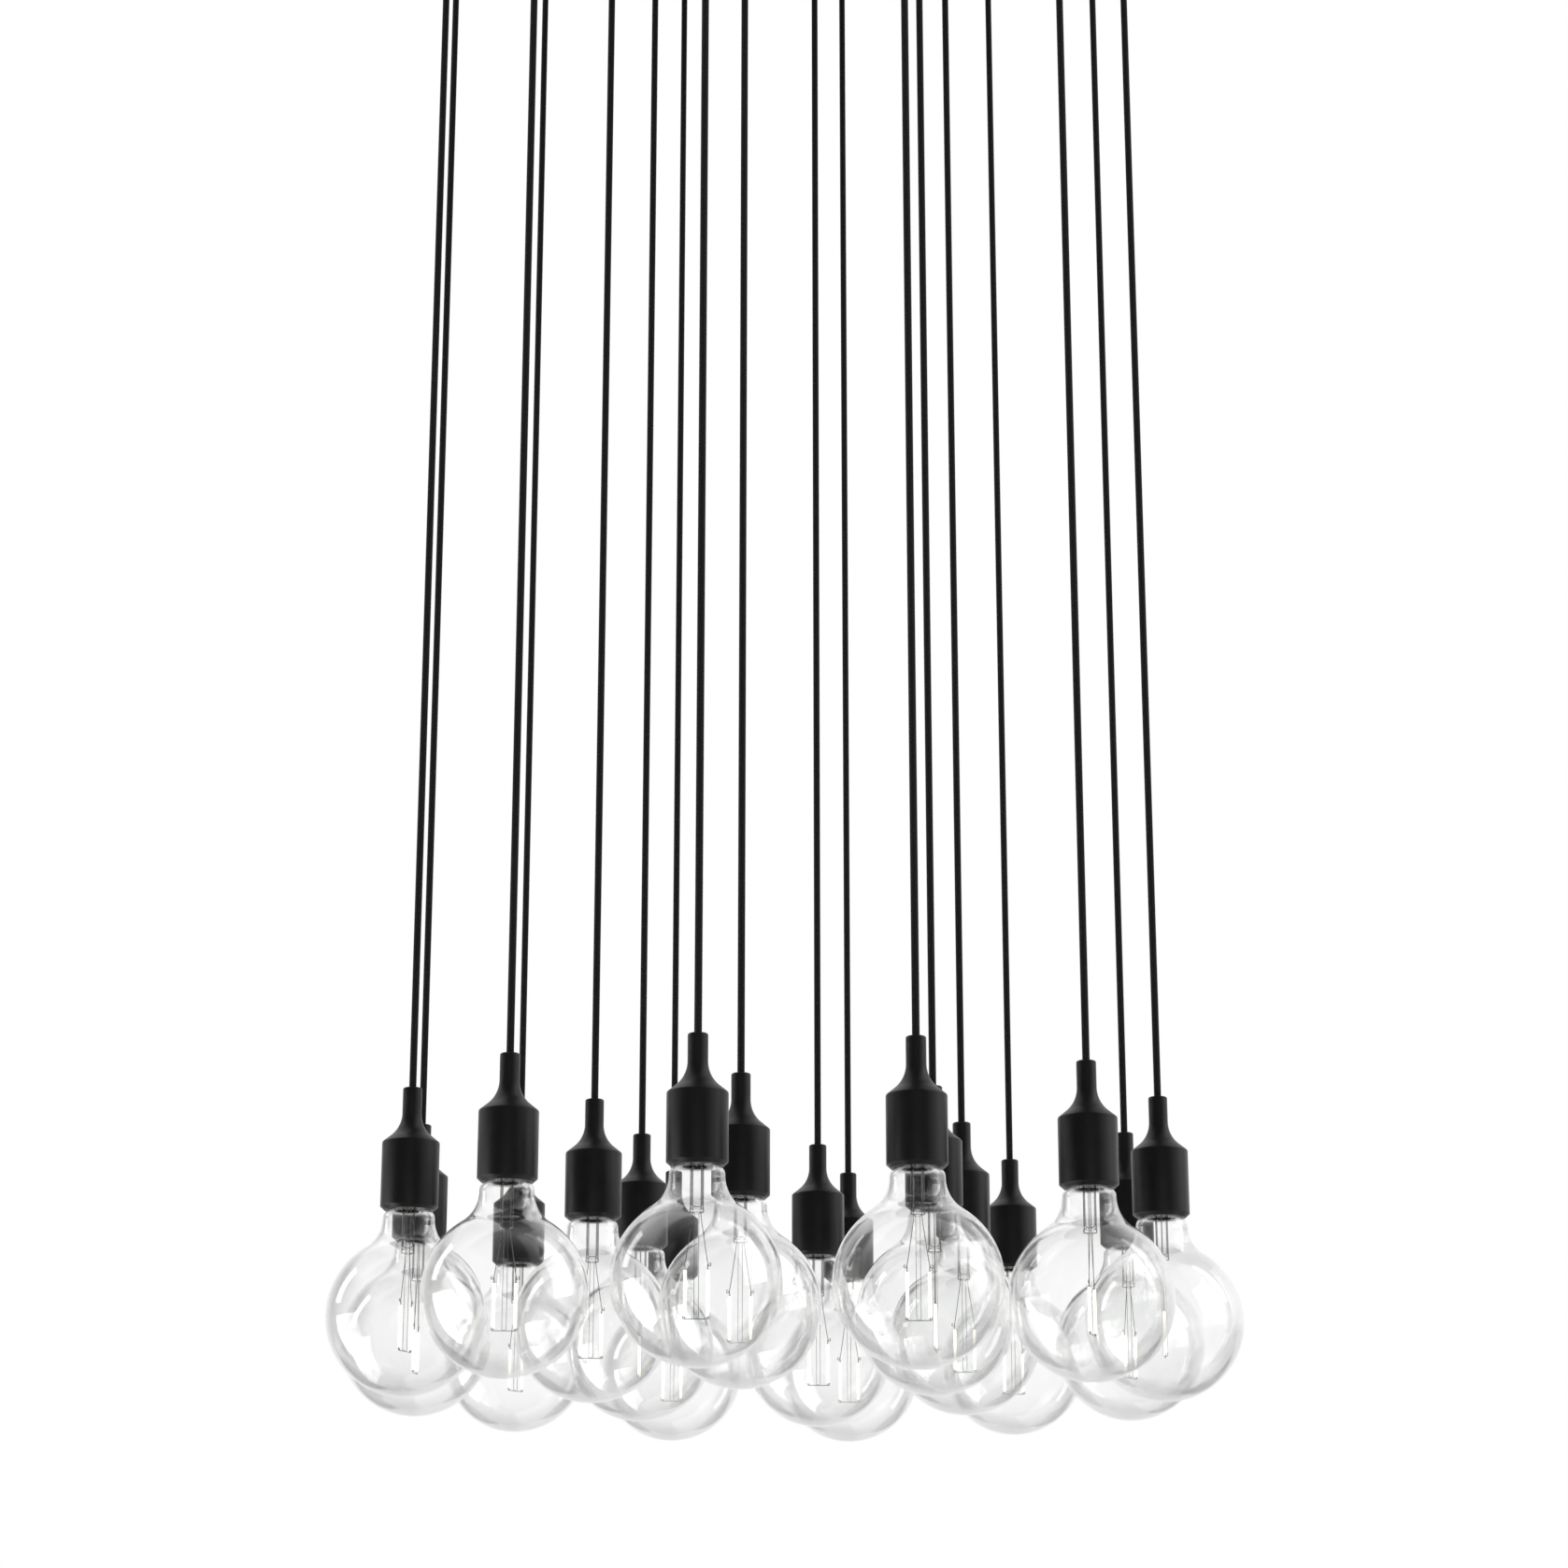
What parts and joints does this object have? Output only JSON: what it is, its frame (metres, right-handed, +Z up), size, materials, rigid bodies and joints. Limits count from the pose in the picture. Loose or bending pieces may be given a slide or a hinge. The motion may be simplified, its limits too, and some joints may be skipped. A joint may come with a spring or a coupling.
{
  "type": "cluster pendant light",
  "caption": "Cluster pendant: clear globe bulbs in slim dark sockets hang on straight cords, in an outer and an inner ring, from one round ceiling canopy.",
  "frame": {"origin": "centre of the canopy on the ceiling plane, on the top face of the ceiling bracket", "axes": "+Z up into the ceiling; the lamps hang towards -Z; +X to the right and +Y away in the picture"},
  "size_m": [0.7328, 0.7328, 1.554],
  "materials": {
    "canopy_paint": "fine matt powder coat",
    "zinc_steel": "zinc plated, dull",
    "screw_steel": "blackened, satin",
    "grip_plastic": "matt, lightly grained",
    "box_plastic": "matt",
    "cord_textile": "braided rayon, soft sheen",
    "socket_silicone": "soft silicone, satin",
    "bulb_glass": "clear blown glass"
  },
  "bodies": {
    "canopy": {"ceiling_bracket": "zinc_steel", "canopy_cover": "canopy_paint", "canopy_screws": "screw_steel", "cord_grips": "grip_plastic", "cord_tails": "cord_textile", "junction_box": "box_plastic", "junction_lid": "box_plastic", "junction_fittings": "box_plastic"},
    "lamp_01": {"cord_01": "cord_textile", "lampholder_01": "socket_silicone", "bulb_01": "bulb_glass"},
    "lamp_02": {"cord_02": "cord_textile", "lampholder_02": "socket_silicone", "bulb_02": "bulb_glass"},
    "lamp_03": {"cord_03": "cord_textile", "lampholder_03": "socket_silicone", "bulb_03": "bulb_glass"},
    "lamp_04": {"cord_04": "cord_textile", "lampholder_04": "socket_silicone", "bulb_04": "bulb_glass"},
    "lamp_05": {"cord_05": "cord_textile", "lampholder_05": "socket_silicone", "bulb_05": "bulb_glass"},
    "lamp_06": {"cord_06": "cord_textile", "lampholder_06": "socket_silicone", "bulb_06": "bulb_glass"},
    "lamp_07": {"cord_07": "cord_textile", "lampholder_07": "socket_silicone", "bulb_07": "bulb_glass"},
    "lamp_08": {"cord_08": "cord_textile", "lampholder_08": "socket_silicone", "bulb_08": "bulb_glass"},
    "lamp_09": {"cord_09": "cord_textile", "lampholder_09": "socket_silicone", "bulb_09": "bulb_glass"},
    "lamp_10": {"cord_10": "cord_textile", "lampholder_10": "socket_silicone", "bulb_10": "bulb_glass"},
    "lamp_11": {"cord_11": "cord_textile", "lampholder_11": "socket_silicone", "bulb_11": "bulb_glass"},
    "lamp_12": {"cord_12": "cord_textile", "lampholder_12": "socket_silicone", "bulb_12": "bulb_glass"},
    "lamp_13": {"cord_13": "cord_textile", "lampholder_13": "socket_silicone", "bulb_13": "bulb_glass"},
    "lamp_14": {"cord_14": "cord_textile", "lampholder_14": "socket_silicone", "bulb_14": "bulb_glass"},
    "lamp_15": {"cord_15": "cord_textile", "lampholder_15": "socket_silicone", "bulb_15": "bulb_glass"},
    "lamp_16": {"cord_16": "cord_textile", "lampholder_16": "socket_silicone", "bulb_16": "bulb_glass"},
    "lamp_17": {"cord_17": "cord_textile", "lampholder_17": "socket_silicone", "bulb_17": "bulb_glass"},
    "lamp_18": {"cord_18": "cord_textile", "lampholder_18": "socket_silicone", "bulb_18": "bulb_glass"}
  },
  "joints": [
    {"name": "swing_01", "type": "hinge", "parent": "canopy", "child": "lamp_01", "pos_m": [0.29381, 0.09888, -0.06], "axis": [0.319, -0.9478, 0], "range_deg": [-0.45, 10]},
    {"name": "swing_02", "type": "hinge", "parent": "canopy", "child": "lamp_02", "pos_m": [0.20501, 0.23253, -0.06], "axis": [0.7501, -0.6613, 0], "range_deg": [-0.45, 10]},
    {"name": "swing_03", "type": "hinge", "parent": "canopy", "child": "lamp_03", "pos_m": [0.06127, 0.30388, -0.06], "axis": [0.9803, -0.1977, 0], "range_deg": [-0.45, 10]},
    {"name": "swing_04", "type": "hinge", "parent": "canopy", "child": "lamp_04", "pos_m": [-0.09888, 0.29381, -0.06], "axis": [0.9478, 0.319, 0], "range_deg": [-0.45, 10]},
    {"name": "swing_05", "type": "hinge", "parent": "canopy", "child": "lamp_05", "pos_m": [-0.23253, 0.20501, -0.06], "axis": [0.6613, 0.7501, 0], "range_deg": [-0.45, 10]},
    {"name": "swing_06", "type": "hinge", "parent": "canopy", "child": "lamp_06", "pos_m": [-0.30388, 0.06127, -0.06], "axis": [0.1977, 0.9803, 0], "range_deg": [-0.45, 10]},
    {"name": "swing_07", "type": "hinge", "parent": "canopy", "child": "lamp_07", "pos_m": [-0.29381, -0.09888, -0.06], "axis": [-0.319, 0.9478, 0], "range_deg": [-0.45, 10]},
    {"name": "swing_08", "type": "hinge", "parent": "canopy", "child": "lamp_08", "pos_m": [-0.20501, -0.23253, -0.06], "axis": [-0.7501, 0.6613, 0], "range_deg": [-0.45, 10]},
    {"name": "swing_09", "type": "hinge", "parent": "canopy", "child": "lamp_09", "pos_m": [-0.06127, -0.30388, -0.06], "axis": [-0.9803, 0.1977, 0], "range_deg": [-0.45, 10]},
    {"name": "swing_10", "type": "hinge", "parent": "canopy", "child": "lamp_10", "pos_m": [0.09888, -0.29381, -0.06], "axis": [-0.9478, -0.319, 0], "range_deg": [-0.45, 10]},
    {"name": "swing_11", "type": "hinge", "parent": "canopy", "child": "lamp_11", "pos_m": [0.23253, -0.20501, -0.06], "axis": [-0.6613, -0.7501, 0], "range_deg": [-0.45, 10]},
    {"name": "swing_12", "type": "hinge", "parent": "canopy", "child": "lamp_12", "pos_m": [0.30388, -0.06127, -0.06], "axis": [-0.1977, -0.9803, 0], "range_deg": [-0.45, 10]},
    {"name": "swing_13", "type": "hinge", "parent": "canopy", "child": "lamp_13", "pos_m": [0.15164, 0.05103, -0.06], "axis": [-0.319, 0.9478, 0], "range_deg": [-0.45, 1.3]},
    {"name": "swing_14", "type": "hinge", "parent": "canopy", "child": "lamp_14", "pos_m": [0.03163, 0.15684, -0.06], "axis": [-0.9803, 0.1977, 0], "range_deg": [-0.45, 1.3]},
    {"name": "swing_15", "type": "hinge", "parent": "canopy", "child": "lamp_15", "pos_m": [-0.12002, 0.10581, -0.06], "axis": [-0.6613, -0.7501, 0], "range_deg": [-0.45, 1.3]},
    {"name": "swing_16", "type": "hinge", "parent": "canopy", "child": "lamp_16", "pos_m": [-0.15164, -0.05103, -0.06], "axis": [0.319, -0.9478, 0], "range_deg": [-0.45, 1.3]},
    {"name": "swing_17", "type": "hinge", "parent": "canopy", "child": "lamp_17", "pos_m": [-0.03163, -0.15684, -0.06], "axis": [0.9803, -0.1977, 0], "range_deg": [-0.45, 1.3]},
    {"name": "swing_18", "type": "hinge", "parent": "canopy", "child": "lamp_18", "pos_m": [0.12002, -0.10581, -0.06], "axis": [0.6613, 0.7501, 0], "range_deg": [-0.45, 1.3]}
  ]
}
